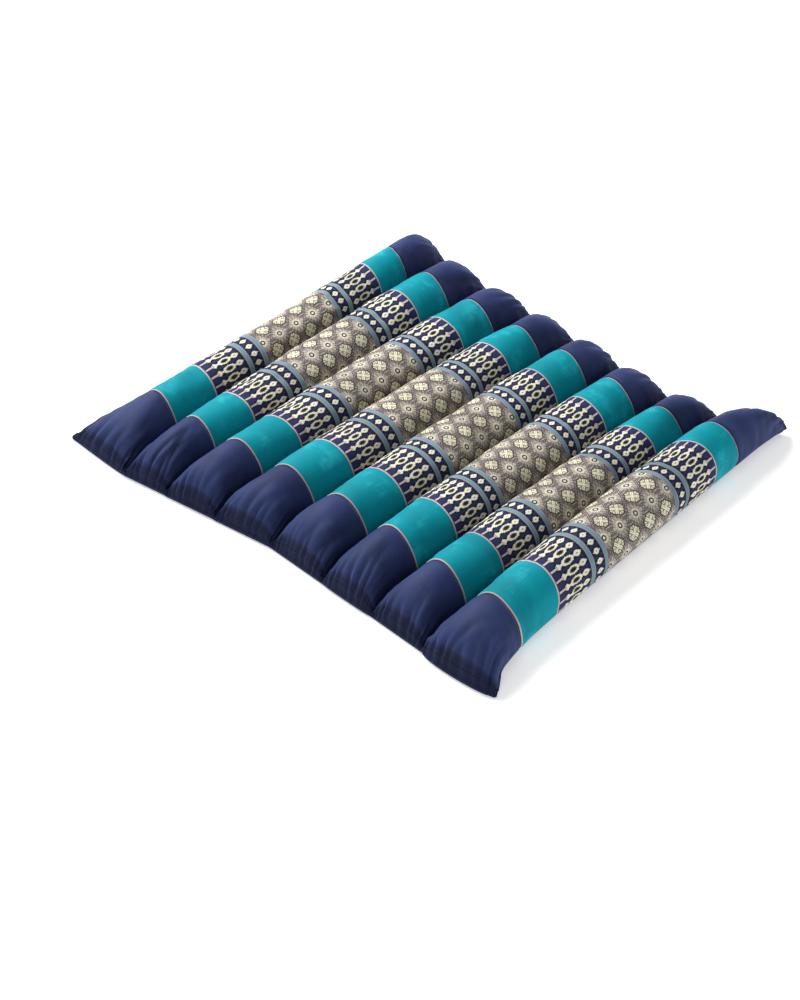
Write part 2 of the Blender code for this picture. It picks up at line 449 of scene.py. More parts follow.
# Tucks at the ends of the valleys, in the same way
TUCK_DEPTH = 0.0032
TUCK_WIDTH = 0.0017
TUCK_OFFSET = 0.0095
TUCK_REACH = (0.010, 0.024)
TUCK_LEAN = (0.15, 0.55)
TUCK_SHALLOWEST = 0.5
TUCK_START = 0.35
TUCK_START_RUN = 0.005
TUCK_COUNT = 4
TUCK_SEEDS = (23, 24)

# The soft ridge beside a sharp fold: its height as a share of the fold's depth, and its place in widths
RIDGE_SHARE = 0.55
RIDGE_AT = 1.9

# Puckers beside the stitched valleys, and lumps of the filling
PUCKER_HEIGHT = 0.0007
PUCKER_LENGTHS = (0.0125, 0.0171, 0.0240)
PUCKER_SHIFT = 0.037
PUCKER_SWAY = 0.01
PUCKER_SEED = 13
LUMP_HEIGHT = 0.0008
LUMP_LENGTHS = (0.055, 0.083, 0.127)
LUMP_SHIFT = 0.31
LUMP_SEED = 14


def waves(position, lengths, seed, drift=None):
    """A sum of cosines of the given wavelengths with seeded phases, from -1 to 1."""
    random = np.random.default_rng(seed)
    total = np.zeros_like(position)
    for length in lengths:
        phase = random.uniform(0.0, 2.0 * np.pi)
        sway = 0.0 if drift is None else drift * random.uniform(-1.0, 1.0)
        total = total + np.cos(2.0 * np.pi * position / length + phase + sway)
    return total / len(lengths)


def crease_line(offset, width):
    """A sharp fold with a soft ridge on both sides: a negative exponential and two positive bells."""
    away = np.abs(offset) / width
    return RIDGE_SHARE * np.exp(-((away - RIDGE_AT) ** 2)) - np.exp(-away)


def gathers(arc, distance, seed):
    """Folds that run in from a closed end, each with its own place, lean, depth, width and reach.

    Each is a crease along a slightly bent line, times a bell over the distance from the end.
    """
    random = np.random.default_rng(seed)
    relief = np.zeros_like(distance)
    place = arc[0] + random.uniform(*GATHER_SPACING)
    while place < arc[-1]:
        lean = random.uniform(-GATHER_LEAN, GATHER_LEAN)
        bend = random.uniform(-GATHER_BEND, GATHER_BEND)
        depth = random.uniform(*GATHER_DEPTH)
        longer = GATHER_SHORTEST + (1.0 - GATHER_SHORTEST) * depth / GATHER_DEPTH[1]
        reach = random.uniform(*GATHER_REACH) * longer
        width = random.uniform(*GATHER_WIDTH) * (1.0 + distance / GATHER_WIDER_RUN)
        line = place + lean * distance + bend * distance**2
        rise = eased_in(GATHER_START, distance, GATHER_START_RUN)
        relief = relief + depth * rise * np.exp(-((distance / reach) ** 2)) * crease_line(arc - line, width)
        place += random.uniform(*GATHER_SPACING)
    return relief


def tucks(arc, seam_places, distance, seed):
    """Deeper pleats that close the end of each valley, a few to a seam line, leaning away from it."""
    random = np.random.default_rng(seed)
    relief = np.zeros_like(distance)
    for seam in seam_places:
        for offset in random.uniform(-TUCK_OFFSET, TUCK_OFFSET, TUCK_COUNT):
            reach = random.uniform(*TUCK_REACH)
            lean = offset / TUCK_OFFSET * random.uniform(*TUCK_LEAN)
            depth = TUCK_DEPTH * random.uniform(TUCK_SHALLOWEST, 1.0)
            line = seam + offset + lean * distance
            fade = np.exp(-((distance / reach) ** 2)) * eased_in(TUCK_START, distance, TUCK_START_RUN)
            relief = relief + depth * fade * crease_line(arc - line, TUCK_WIDTH)
    return relief


def pucker_relief(column, row, arc):
    """How far the cloth stands out of its plain form.

    Gathers run in from both ends, pleats close the valley ends, shorter puckers stand square to the stitched
    valleys, and slow lumps of the filling lie under all of it.
    """
    channel, turn, slot_share = column
    _, y, _, from_front, from_back = plan(column, row)
    across = np.broadcast_to(arc, y.shape)
    above = (turn >= 0.0) & (turn <= np.pi)
    seams = arc[np.nan_to_num(slot_share, nan=1.0) == 0.0]
    relief = gathers(arc, from_front, GATHER_SEEDS[0]) + gathers(arc, from_back, GATHER_SEEDS[1])
    relief = relief + tucks(arc, seams, from_front, TUCK_SEEDS[0])
    relief = relief + tucks(arc, seams, from_back, TUCK_SEEDS[1])
    from_closing = np.minimum(from_front, from_back) - EDGE_CREASE_AT
    relief = relief - EDGE_CREASE * np.exp(-((from_closing / EDGE_CREASE_WIDTH) ** 2))
    near_valley = np.abs(np.cos(turn)) ** 3 * above
    side = channel * 2 + (turn > np.pi / 2.0)
    pucker = waves(y + side * PUCKER_SHIFT, PUCKER_LENGTHS, PUCKER_SEED, across / PUCKER_SWAY)
    relief = relief + PUCKER_HEIGHT * pucker * near_valley
    lump = waves(y + channel * LUMP_SHIFT, LUMP_LENGTHS, LUMP_SEED) * np.sqrt(np.maximum(np.sin(turn), 0.0))
    return relief + LUMP_HEIGHT * lump


# How much painted shade darkens the folds, the closed ends and the valleys
PAINTED_SHADE_DARK = 0.62
FOLD_DEPTH = 0.0022
LIP_SHADE = 1.0
LIP_SHADE_END = 0.0085
LIP_SHADE_FULL = 0.66
VALLEY_SHADE = 0.75


def painted_fold_shade(column, row, relief):
    """Painted shade, from 0 to 1, that darkens the cloth in its folds, along the closed ends and in the
    valleys.

    The largest of three shares: the relief's depth over the fold depth, a band along the closed ends that
    fades over its last third, and the valleys, with the sixth power of the cosine of the turn. The outer
    sides aren't valleys.
    """
    channel, turn, slot_share = column
    _, _, _, from_front, from_back = plan(column, row)
    in_fold = np.clip(-relief / FOLD_DEPTH, 0.0, 1.0)
    from_end = np.minimum(from_front, from_back)
    past_full = (from_end / LIP_SHADE_END - LIP_SHADE_FULL) / (1.0 - LIP_SHADE_FULL)
    in_lip = LIP_SHADE * (1.0 - smooth(past_full))
    inner = np.where(turn < np.pi / 2.0, channel > 0, channel < LAST)
    beside = np.abs(np.cos(turn)) ** 6 * inner
    in_valley = VALLEY_SHADE * np.where(np.isnan(slot_share), beside, 1.0)
    return np.maximum(np.maximum(in_fold, in_lip), in_valley)


def seam_groove(surface_y, seam_y):
    """Depth of the sewn joint between two panels, a narrow bell over the seam."""
    return SEAM_DIP * np.exp(-(((surface_y - seam_y) / SEAM_DIP_WIDTH) ** 2))


# The cloth simulation

# How long it runs and how stiff the cloth is, then the most that a point moves and how low the pad starts
CLOTH_FRAMES = 20
CLOTH_SETTINGS = {
    "quality": 4,
    "mass": 0.15,
    "tension_stiffness": 20.0,
    "compression_stiffness": 12.0,
    "shear_stiffness": 6.0,
    "bending_stiffness": 0.05,
    "vertex_group_mass": "Held",
    "use_pressure": True,
    "uniform_pressure_force": 4.0,
}
MOVE_CAP = 0.0045
SMALLER = 0.0004


def settle(surface, column, row):
    """How far a short simulation moves the top cloth: pressure fills it, its stitched lines and edges hold.

    The pad swells, so it starts a little lower than its plain form, by a share of a millimetre times the sine
    of the turn. It then fills out, and no point moves by more than the cap.
    """
    _, turn, slot_share = column
    start = surface.copy()
    start[..., 2] -= SMALLER * np.clip(np.sin(turn), 0.0, 1.0) * (surface[..., 2] / surface[..., 2].max())
    mesh = bpy.data.meshes.new("settling")
    mesh.from_pydata(start.reshape(-1, 3).tolist(), [], grid_faces(*start.shape[:2]).tolist())
    item = bpy.data.objects.new("settling", mesh)
    bpy.context.scene.collection.objects.link(item)
    held_columns = ~np.isnan(slot_share) | (turn < 0.0) | (turn > np.pi)
    held_rows = np.zeros(start.shape[0], bool)
    held_rows[[0, 1, -2, -1]] = True
    held = held_rows[:, None] | held_columns[None, :]
    group = item.vertex_groups.new(name=CLOTH_SETTINGS["vertex_group_mass"])
    group.add(np.flatnonzero(held.ravel()).tolist(), 1.0, "REPLACE")
    cloth = item.modifiers.new("Cloth", "CLOTH")
    for setting, value in CLOTH_SETTINGS.items():
        setattr(cloth.settings, setting, value)
    cloth.settings.effector_weights.gravity = 0.0
    cloth.collision_settings.use_collision = False
    cloth.point_cache.frame_start = 1
    cloth.point_cache.frame_end = CLOTH_FRAMES
    scene = bpy.context.scene
    for frame_number in range(1, CLOTH_FRAMES + 1):
        scene.frame_set(frame_number)
    evaluated = item.evaluated_get(bpy.context.evaluated_depsgraph_get())
    settled = np.empty(start.size, dtype=np.float32)
    evaluated.data.vertices.foreach_get("co", settled)
    scene.frame_set(1)
    bpy.data.objects.remove(item)
    bpy.data.meshes.remove(mesh)
    move = settled.reshape(start.shape) - start
    length = np.linalg.norm(move, axis=-1, keepdims=True)
    return start - surface + move * np.minimum(1.0, MOVE_CAP / np.maximum(length, 1e-9))


def between(values, axis):
    """The values of every second line of a grid, with the mean of each two put back between them."""
    values = np.moveaxis(values, axis, 0)
    full = np.empty((2 * values.shape[0] - 1, *values.shape[1:]))
    full[::2] = values
    full[1::2] = (values[1:] + values[:-1]) / 2.0
    return np.moveaxis(full, 0, axis)


def filled_form(plain, column, row):
    """The plain form filled out by the simulation of every second column and row."""
    half_column = tuple(values[::2] for values in column)
    half_row = tuple(values[::2] for values in row)
    move = settle(plain[::2, ::2], half_column, half_row)
    return plain + between(between(move, 0), 1)


# Meshes

CLOTH_MAP = "Cloth"
# The point attribute that holds painted shade for the folds, closed ends and valleys
PAINTED_SHADE_ATTRIBUTE = "Painted fold shade"


def grid_faces(row_count, column_count, start=0):
    """Quads of a grid of points, counted row by row, that face up when X runs along the rows."""
    first = start + np.arange(row_count - 1)[:, None] * column_count + np.arange(column_count - 1)
    corners = [first, first + 1, first + column_count + 1, first + column_count]
    return np.stack(corners, axis=-1).reshape(-1, 4)


def border(row_count, column_count):
    """Indices round the grid's edge, anticlockwise from above."""
    grid = np.arange(row_count * column_count).reshape(row_count, column_count)
    return np.concatenate([grid[0, :-1], grid[:-1, -1], grid[-1, :0:-1], grid[:0:-1, 0]])


def make_piece(name, points, faces, material, flat=None, fold=None):
    """A smooth mesh piece from an array of points and a list of faces.

    flat gives each point its place on the flat cloth, in metres, as a UV map, and fold its painted shade in
    folds, along the closed ends and in the valleys.
    """
    mesh = bpy.data.meshes.new(name)
    mesh.from_pydata(points.reshape(-1, 3).tolist(), [], faces)
    mesh.materials.append(material)
    mesh.shade_smooth()
    if flat is not None:
        layer = mesh.uv_layers.new(name=CLOTH_MAP)
        corner = np.empty(len(mesh.loops), dtype=np.int32)
        mesh.loops.foreach_get("vertex_index", corner)
        layer.data.foreach_set("uv", flat.reshape(-1, 2)[corner].astype(np.float32).ravel())
    if fold is not None:
        # Painted shade of each point, for the folds, closed ends and valleys
        depth = mesh.attributes.new(name=PAINTED_SHADE_ATTRIBUTE, type="FLOAT", domain="POINT")
        depth.data.foreach_set("value", fold.astype(np.float32).ravel())
    item = bpy.data.objects.new(name, mesh)
    bpy.context.scene.collection.objects.link(item)
    return item


def thicken(piece):
    """Cloth thickness, kept under the surface that was modelled."""
    solidify = piece.modifiers.new("Cloth thickness", "SOLIDIFY")
    solidify.thickness = SHEET
    solidify.offset = -1.0
    solidify.use_even_offset = False
    return piece


# Materials

# Places of the factor and the two colours among a colour Mix node's sockets, and of its result
COLOUR_MIX_INPUTS = (0, 6, 7)
COLOUR_MIX_OUTPUT = 2


class Number:
    """A number in a node tree, so that a sum of Math nodes reads as arithmetic."""

    def __init__(self, tree, value):
        self.tree = tree
        self.value = value

    def math(self, operation, *others):
        """The number that a Math node gives for this one and others."""
        node = self.tree.nodes.new("ShaderNodeMath")
        node.operation = operation
        for socket, item in zip(node.inputs, (self, *others)):
            value = item.value if isinstance(item, Number) else item
            if isinstance(value, bpy.types.NodeSocket):
                self.tree.links.new(value, socket)
            else:
                socket.default_value = value
        return Number(self.tree, node.outputs[0])

    __add__ = partialmethod(math, "ADD")
    __sub__ = partialmethod(math, "SUBTRACT")
    __mul__ = partialmethod(math, "MULTIPLY")
    __truediv__ = partialmethod(math, "DIVIDE")
    __lt__ = partialmethod(math, "LESS_THAN")
    __gt__ = partialmethod(math, "GREATER_THAN")
    floor = partialmethod(math, "FLOOR")
    abs = partialmethod(math, "ABSOLUTE")
    max = partialmethod(math, "MAXIMUM")
    min = partialmethod(math, "MINIMUM")

    def folded(self, pitch):
        """Distance to the nearest multiple of a pitch."""
        return self.math("PINGPONG", pitch / 2.0)

    def snapped(self, step):
        """The middle of the thread that the value falls in."""
        return ((self / step).floor() + 0.5) * step

    def clipped(self, most=1.0):
        """The value kept between zero and a most."""
        return self.max(0.0).min(most)


def new_group(name, inputs, outputs):
    """An empty shader group with named sockets: each a (name, kind, default) triple."""
    tree = bpy.data.node_groups.new(name, "ShaderNodeTree")
    for label, kind, default in inputs:
        socket = tree.interface.new_socket(name=label, in_out="INPUT", socket_type=kind)
        socket.default_value = default
    for label, kind in outputs:
        tree.interface.new_socket(name=label, in_out="OUTPUT", socket_type=kind)
    start = tree.nodes.new("NodeGroupInput")
    end = tree.nodes.new("NodeGroupOutput")
    return tree, start, end


def painted(tree, colour, *layers):
    """A colour with each (mask, colour) layer mixed over it in turn, by the mask's value."""
    for mask, over in layers:
        node = tree.nodes.new("ShaderNodeMix")
        node.data_type = "RGBA"
        for number, item in zip(COLOUR_MIX_INPUTS, (mask.value, colour, over)):
            if isinstance(item, bpy.types.NodeSocket):
                tree.links.new(item, node.inputs[number])
            else:
                node.inputs[number].default_value = item
        colour = node.outputs[COLOUR_MIX_OUTPUT]
    return colour


def set_inputs(node, values):
    """Sets a node's sockets by name."""
    for name, value in values.items():
        node.inputs[name].default_value = value


def new_material(name):
    """A material with its node tree and its Principled shader."""
    material = bpy.data.materials.new(name)
    material.use_nodes = True
    return material, material.node_tree, material.node_tree.nodes["Principled BSDF"]


def split(tree, vector):
    """The X and Y of a vector socket as numbers."""
    node = tree.nodes.new("ShaderNodeSeparateXYZ")
    tree.links.new(vector, node.inputs[0])
    return Number(tree, node.outputs[0]), Number(tree, node.outputs[1])


def join(tree, x, y):
    """A vector socket from two numbers."""
    node = tree.nodes.new("ShaderNodeCombineXYZ")
    tree.links.new(x.value, node.inputs[0])
    tree.links.new(y.value, node.inputs[1])
    return node.outputs[0]


# Charts of the woven figure, one letter for each thread: n dark ground, b blue lozenge, p pale pink,
# y cream, o olive. A chart's first column is the middle of its figure, which is mirrored about it.
LETTERS = "nbpyo"
CHAIN_CHART = (
    "ppnnnbbbbb",
    "ppnnbbbbbb",
    "ppnnbbbbbb",
    "ppnnbbbbbb",
    "ppnnbbbbbb",
    "ppnnnnbbbb",
    "ppnynnnnbb",
    "ppyyynnnnb",
    "yyyyyynnnb",
    "yyyynnnnbb",
    "yynnnnnnbb",
    "yynnnnnbbb",
    "yyyynnnnbb",
    "yyyyyynnbb",
    "ooyyyynnnb",
    "nnooyyynnb",
    "nnnoyyynnb",
    "nnnooyyynb",
    "nnnoyyynnb",
    "nnooyyynnb",
    "ooyyyynnnb",
    "yyyyyynnbb",
    "yyynnnnnbb",
    "ppnnnnnbbb",
    "yyynnnnbbb",
    "yyyyynnnbb",
    "oyyyyynnnb",
    "oyyyyynnnb",
    "yyyyynnnbb",
    "yyynnnnbbb",
    "pnnnnnnnnb",
    "nnnnnnnnnn",
)
DIAMOND_CHART = (
    "nnnnnnnbbb",
    "ynnnnnnbbb",
    "yyynnnnnbb",
    "yyyyynnnnb",
    "oyyyyynnnn",
    "yyyyynnnnb",
    "yyynnnnnbb",
    "ynnnnnnbbb",
    "nnnnnnnbbb",
)
LETTER_COLOURS = (DARK_GROUND, BLUE_LOZENGE, PALE_PINK, CREAM, OLIVE)

# The flower of the field in mm: the reach of its point and of its lobes, its notches, cross and eye, and the
# share that its dark outline stands out by
FLOWER_REACH = 8.6
LOBE_REACH = 6.9
NOTCH_PITCH = 3.1
NOTCH_SHIFT = 0.35
NOTCH_HALF = 0.62
CROSS_HALF = 0.5
CROSS_REACH = 6.4
EYE_REACH = 1.8
OUTLINE_REACH = 1.24
OUTLINE_EASE = 0.98

# The rosette: its rays round a turn, a nudge off its centre where the angle isn't defined, the rays'
# threshold, then the radii in mm of rays, ring, hollow and dot
RAYS = 16.0
CENTRE_NUDGE = 0.01
RAY_EDGE = 0.05
RAY_RADIUS = 4.9
RING_RADIUS = 3.3
HOLLOW_RADIUS = 2.8
DOT_RADIUS = 1.3

# The lattice, in cells: a double line, then the single line inside it
DOUBLE_AT = 1.02
DOUBLE_APART = 0.080
DOUBLE_HALF = 0.044
SINGLE_AT = 0.80
SINGLE_HALF = 0.036

# Half widths in mm of the stripes' lilac and grey, then places of the narrow lines beside the teal
LILAC_HALF = 2.9
GREY_HALF = 1.7
PALE_LINE_FROM = -0.4
RED_LINE_TO = 0.5
SEAM_LINE = 1.9
SEAM_LINE_RED = 0.6

# Pitches added across, which keep the field's fold above zero
TEN_PITCHES = 10.0

# Brightness from which the figure's threads stand up, and how steeply
RAISE_FROM = 0.12
RAISE_GAIN = 2.5


def steps_ramp(tree, factor, colours):
    """A ramp of equal plain steps, read by a factor from 0 to 1."""
    node = tree.nodes.new("ShaderNodeValToRGB")
    node.color_ramp.interpolation = "CONSTANT"
    elements = node.color_ramp.elements
    while len(elements) < len(colours):
        elements.new(1.0)
    for number, colour in enumerate(colours):
        elements[number].position = number / len(colours)
        elements[number].color = colour
    tree.links.new(factor.value, node.inputs[0])
    return node.outputs[0]


def chart_letter(tree, chart, column_number, row_number):
    """Number of the chart's letter at a thread.

    Each chart row becomes one step of a ramp. Its red, green and blue hold the first, second and third
    binary digit of the row's letters, as a binary fraction with a digit for each column.
    """
    width = len(chart[0])
    scale = 2.0**width

    def digits(text, place):
        bits = "".join(str((LETTERS.index(letter) >> place) & 1) for letter in text)
        return (int(bits, 2) + 0.5) / scale

    colours = [(digits(text, 0), digits(text, 1), digits(text, 2), 1.0) for text in chart]
    ramp = steps_ramp(tree, (row_number + 0.5) / len(chart), colours)
    parts = tree.nodes.new("ShaderNodeSeparateColor")
    tree.links.new(ramp, parts.inputs[0])
    shift = Number(tree, 2.0).math("POWER", column_number + 1.0)
    bits = [(Number(tree, socket) * shift).floor().math("MODULO", 2.0) for socket in parts.outputs]
    return bits[0] + bits[1] * 2.0 + bits[2] * 4.0


def woven_figure_group():
    """The woven figure on flat cloth: colour, how far its threads stand up, and where it is teal.

    Along is measured from the front seam, and the figure is mirrored about the middle of the panel. From
    the middle out: the lozenge field, a grey stripe, a row of diamonds, a grey stripe, the chains, a pale
    line, the teal band and the pale line at the seam.
    """
    tree, start, end = new_group(
        "Woven figure",
        [("Flat", "NodeSocketVector", (0.0, 0.0, 0.0))],
        [("Color", "NodeSocketColor"), ("Raise", "NodeSocketFloat"), ("Teal", "NodeSocketFloat")],
    )
    across, along = split(tree, start.outputs[0])
    across = (across * 1000.0).snapped(THREAD_MM)
    along = along * 1000.0
    half = FIELD_HALF_MM + 2.0 * STRIPE_MM + DIAMOND_BAND_MM + CHAIN_BAND_MM + PALE_LINE_MM + TEAL_MM
    out = (along - half).abs().snapped(THREAD_MM)

    # Lozenge field: four-lobed cream flowers in dark stepped outlines, with rayed rosettes half a pitch away
    # both ways, and a lattice of lines between the two
    x = (across + FLOWER_PITCH_MM * TEN_PITCHES).folded(FLOWER_PITCH_MM)
    y = (out + FLOWER_STEP_MM / 2.0).folded(FLOWER_STEP_MM)
    notch = ((x - y).abs() + NOTCH_SHIFT).folded(NOTCH_PITCH) < NOTCH_HALF
    cross = (x.min(y) < CROSS_HALF) * ((x + y) < CROSS_REACH)
    flower = painted(tree, CREAM, (notch, OLIVE), (cross, KHAKI), ((x + y) < EYE_REACH, CREAM))
    away_x = x * -1.0 + FLOWER_PITCH_MM / 2.0
    away_y = y * -1.0 + FLOWER_STEP_MM / 2.0
    radius = (away_x * away_x + away_y * away_y).math("SQRT")
    angle = away_y.math("ARCTAN2", away_x + CENTRE_NUDGE)
    ray = (angle * RAYS).math("SINE") > RAY_EDGE
    cell = x / (FLOWER_PITCH_MM / 2.0) + y / (FLOWER_STEP_MM / 2.0)
    double = ((cell - DOUBLE_AT).abs() - DOUBLE_APART).abs() < DOUBLE_HALF
    lattice = double.max((cell - SINGLE_AT).abs() < SINGLE_HALF)
    lozenge = (x + y) / FLOWER_REACH
    lobe = x.max(y) / LOBE_REACH
    field = painted(
        tree,
        TAN,
        (ray, KHAKI),
        (lattice, PURPLE),
        (ray * (radius < RAY_RADIUS), CREAM),
        (radius < RING_RADIUS, CREAM),
        (radius < HOLLOW_RADIUS, PURPLE),
        (radius < DOT_RADIUS, CREAM),
        (lozenge.max(lobe * OUTLINE_EASE) < OUTLINE_REACH, BROWN),
        (lozenge.max(lobe) < 1.0, flower),
    )

    # Chains and diamonds, from their charts
    chain_x = (across.folded(CHAIN_PITCH_MM) / THREAD_MM).floor()
    edge = FIELD_HALF_MM + STRIPE_MM
    diamond_row = ((out - edge) / DIAMOND_BAND_MM * len(DIAMOND_CHART)).floor()
    chain_start = edge + DIAMOND_BAND_MM + STRIPE_MM
    chain_end = chain_start + CHAIN_BAND_MM
    chain_row = ((out * -1.0 + chain_end) / CHAIN_BAND_MM * len(CHAIN_CHART)).floor()
    diamond = chart_letter(tree, DIAMOND_CHART, chain_x, diamond_row)
    chain = chart_letter(tree, CHAIN_CHART, chain_x, chain_row)
    in_chain = out > chain_start
    letter = diamond * (in_chain * -1.0 + 1.0) + chain * in_chain
    figure = steps_ramp(tree, (letter + 0.5) / len(LETTERS), LETTER_COLOURS)

    # Grey stripes, either side of the diamonds
    to_stripe = ((out - (edge - STRIPE_MM / 2.0)).abs()).min((out - (chain_start - STRIPE_MM / 2.0)).abs())
    stripe = painted(tree, PURPLE, (to_stripe < LILAC_HALF, LILAC), (to_stripe < GREY_HALF, STRIPE_GREY))

    # All bands, from the middle out
    in_teal = (out > chain_end + PALE_LINE_MM) * (out < half - SEAM_LINE)
    colour = painted(
        tree,
        field,
        (out > edge, figure),
        (to_stripe < STRIPE_MM / 2.0, stripe),
        (out > chain_end + PALE_LINE_FROM, RED_BROWN),
        (out > chain_end + RED_LINE_TO, PALE_PINK),
        (in_teal, TEAL),
        (out > half - SEAM_LINE, PALE_PINK),
        (out > half - SEAM_LINE_RED, RED_BROWN),
    )

    bright = tree.nodes.new("ShaderNodeRGBToBW")
    tree.links.new(colour, bright.inputs[0])
    raised = ((Number(tree, bright.outputs[0]) - RAISE_FROM) * RAISE_GAIN).clipped() * (in_teal * -1.0 + 1.0)
    tree.links.new(colour, end.inputs[0])
    tree.links.new(raised.value, end.inputs[1])
    tree.links.new(in_teal.value, end.inputs[2])
    return tree


# How fast the weave's noise changes from thread to thread and along a thread, and its slow cloud
NOISE_BETWEEN = 0.83
NOISE_ALONG = 0.02
CLOUD_SCALE = 38.0
CLOUD_DETAIL = 4.0


def thread_group():
    """Plain weave on flat cloth: the height of its threads, an uneven shade along them, and a slow cloud.

    The height is half of one more than the product of two sines, one for each direction. The shade is the
    mean of two noises, one stretched along the threads across and one along the others.
    """
    tree, start, end = new_group(
        "Plain weave",
        [("Flat", "NodeSocketVector", (0.0, 0.0, 0.0)), ("Thread mm", "NodeSocketFloat", 0.6)],
        [("Height", "NodeSocketFloat"), ("Shade", "NodeSocketFloat"), ("Cloud", "NodeSocketFloat")],
    )
    across, along = split(tree, start.outputs[0])
    thread = Number(tree, start.outputs[1])
    across = across * 1000.0 / thread
    along = along * 1000.0 / thread
    height = (across * np.pi).math("SINE") * (along * np.pi).math("SINE") * 0.5 + 0.5

    def noise(vector, scale, detail):
        node = tree.nodes.new("ShaderNodeTexNoise")
        set_inputs(node, {"Scale": scale, "Detail": detail})
        tree.links.new(vector, node.inputs["Vector"])
        return Number(tree, node.outputs[0])

    by_column = noise(join(tree, across * NOISE_BETWEEN, along * NOISE_ALONG), 1.0, 1.0)
    by_row = noise(join(tree, along * NOISE_BETWEEN, across * NOISE_ALONG), 1.0, 1.0)
    cloud = noise(start.outputs[0], CLOUD_SCALE, CLOUD_DETAIL)
    for number, result in enumerate((height, (by_column + by_row) * 0.5, cloud)):
        tree.links.new(result.value, end.inputs[number])
    return tree


def cloth_material(name, thread_mm, roughness, sheen, sheen_tint):
    """A cloth shader with its weave group and bump in place; the colour is linked by the caller."""
    material, tree, shader = new_material(name)
    finish = {"Roughness": roughness, "Sheen Weight": sheen, "Sheen Tint": sheen_tint}
    set_inputs(shader, {**finish, "Sheen Roughness": 0.35, "Specular IOR Level": 0.12})
    flat = tree.nodes.new("ShaderNodeUVMap")
    flat.uv_map = CLOTH_MAP
    weave = tree.nodes.new("ShaderNodeGroup")
    weave.node_tree = PLAIN_WEAVE
    weave.inputs["Thread mm"].default_value = thread_mm
    tree.links.new(flat.outputs[0], weave.inputs["Flat"])
    bump = tree.nodes.new("ShaderNodeBump")
    set_inputs(bump, {"Strength": 0.6, "Distance": 0.00012})
    tree.links.new(bump.outputs[0], shader.inputs["Normal"])
    return material, tree, shader, flat, weave, bump


# Share of the threads' noise in the shade, beside the cloud, and how far the two are spread
THREAD_SHARE = 0.3
SHADE_SPREAD = 2.2


def shaded(tree, colour, weave, low, high):
    """A colour times a value between low and high by the weave's Shade and Cloud outputs, and darkened by
    painted shade in folds, closed ends and valleys.
    """
    threads = Number(tree, weave.outputs["Shade"]) * THREAD_SHARE
    mixed = threads + Number(tree, weave.outputs["Cloud"]) * (1.0 - THREAD_SHARE)
    spread = ((mixed - 0.5) * SHADE_SPREAD + 0.5).clipped()
    # Painted shade from the point attribute darkens the colour in folds, along the closed ends and in the
    # valleys
    fold = tree.nodes.new("ShaderNodeAttribute")
    fold.attribute_name = PAINTED_SHADE_ATTRIBUTE
    unshaded_share = Number(tree, fold.outputs["Fac"]) * -PAINTED_SHADE_DARK + 1.0
    value = (spread * (high - low) + low) * unshaded_share
    scale = tree.nodes.new("ShaderNodeVectorMath")
    scale.operation = "SCALE"
    if isinstance(colour, bpy.types.NodeSocket):
        tree.links.new(colour, scale.inputs[0])
    else:
        scale.inputs[0].default_value = colour[:3]
    tree.links.new(value.value, scale.inputs["Scale"])
    return scale.outputs[0]


# Threads in mm, sheen tints and the low and high shades of the two cloths
PLAIN_THREAD = 0.55
PLAIN_TINT = srgb(125, 140, 220)
PLAIN_SHADES = (0.72, 1.32)
WOVEN_THREAD = 0.95
WOVEN_TINT = srgb(235, 232, 245)
WOVEN_SHADES = (0.86, 1.14)

# Worn patches of the teal: the cloud that they start at, how steeply, the threads' part, and the most
WORN_FROM = 0.56
WORN_GAIN = 4.0
WORN_THREADS = 1.2
WORN_MOST = 0.55


def plain_cloth(name, colour, roughness, sheen):
    """Plain cotton of one colour."""
    parts = cloth_material(name, PLAIN_THREAD, roughness, sheen, PLAIN_TINT)
    material, tree, shader, _, weave, bump = parts
    tree.links.new(shaded(tree, colour, weave, *PLAIN_SHADES), shader.inputs["Base Color"])
    tree.links.new(weave.outputs["Height"], bump.inputs["Height"])
    return material


def woven_cloth(name, roughness, sheen):
    """The patterned panel: the figure's colours, shaded thread by thread, with its figure threads raised."""
    parts = cloth_material(name, WOVEN_THREAD, roughness, sheen, WOVEN_TINT)
    material, tree, shader, flat, weave, bump = parts
    figure = tree.nodes.new("ShaderNodeGroup")
    figure.node_tree = WOVEN_FIGURE
    tree.links.new(flat.outputs[0], figure.inputs["Flat"])
    clouds = (Number(tree, weave.outputs["Cloud"]) - WORN_FROM) * WORN_GAIN
    threads = (Number(tree, weave.outputs["Shade"]) - 0.5) * WORN_THREADS
    worn = (clouds + threads).clipped(WORN_MOST) * Number(tree, figure.outputs["Teal"])
    colour = painted(tree, figure.outputs["Color"], (worn, TEAL_PALE))
    tree.links.new(shaded(tree, colour, weave, *WOVEN_SHADES), shader.inputs["Base Color"])
    height = Number(tree, weave.outputs["Height"]) * 0.5 + Number(tree, figure.outputs["Raise"])
    tree.links.new(height.value, bump.inputs["Height"])
    return material


# The painted shade in the grooves between a thread's plies, as a share of its colour
PAINTED_PLY_SHADE = 0.6


def thread_material(name, colour):
    """Sewing thread: twisted plies as a slanted wave on the object's own coordinates, their grooves painted
    dark as shade.
    """
    material, tree, shader = new_material(name)
    set_inputs(shader, {"Roughness": 0.8, "Specular IOR Level": 0.05})
    place = tree.nodes.new("ShaderNodeTexCoord")
    wave = tree.nodes.new("ShaderNodeTexWave")
    wave.bands_direction = "DIAGONAL"
    set_inputs(wave, {"Scale": 600.0})
    tree.links.new(place.outputs["Object"], wave.inputs["Vector"])
    # The grooves between the plies are painted darker, as shade
    dark = (*(PAINTED_PLY_SHADE * value for value in colour[:3]), 1.0)
    plies = painted(tree, dark, (Number(tree, wave.outputs["Fac"]), colour))
    tree.links.new(plies, shader.inputs["Base Color"])
    bump = tree.nodes.new("ShaderNodeBump")
    set_inputs(bump, {"Strength": 0.5, "Distance": 0.0001})
    tree.links.new(wave.outputs["Fac"], bump.inputs["Height"])
    tree.links.new(bump.outputs[0], shader.inputs["Normal"])
    return material


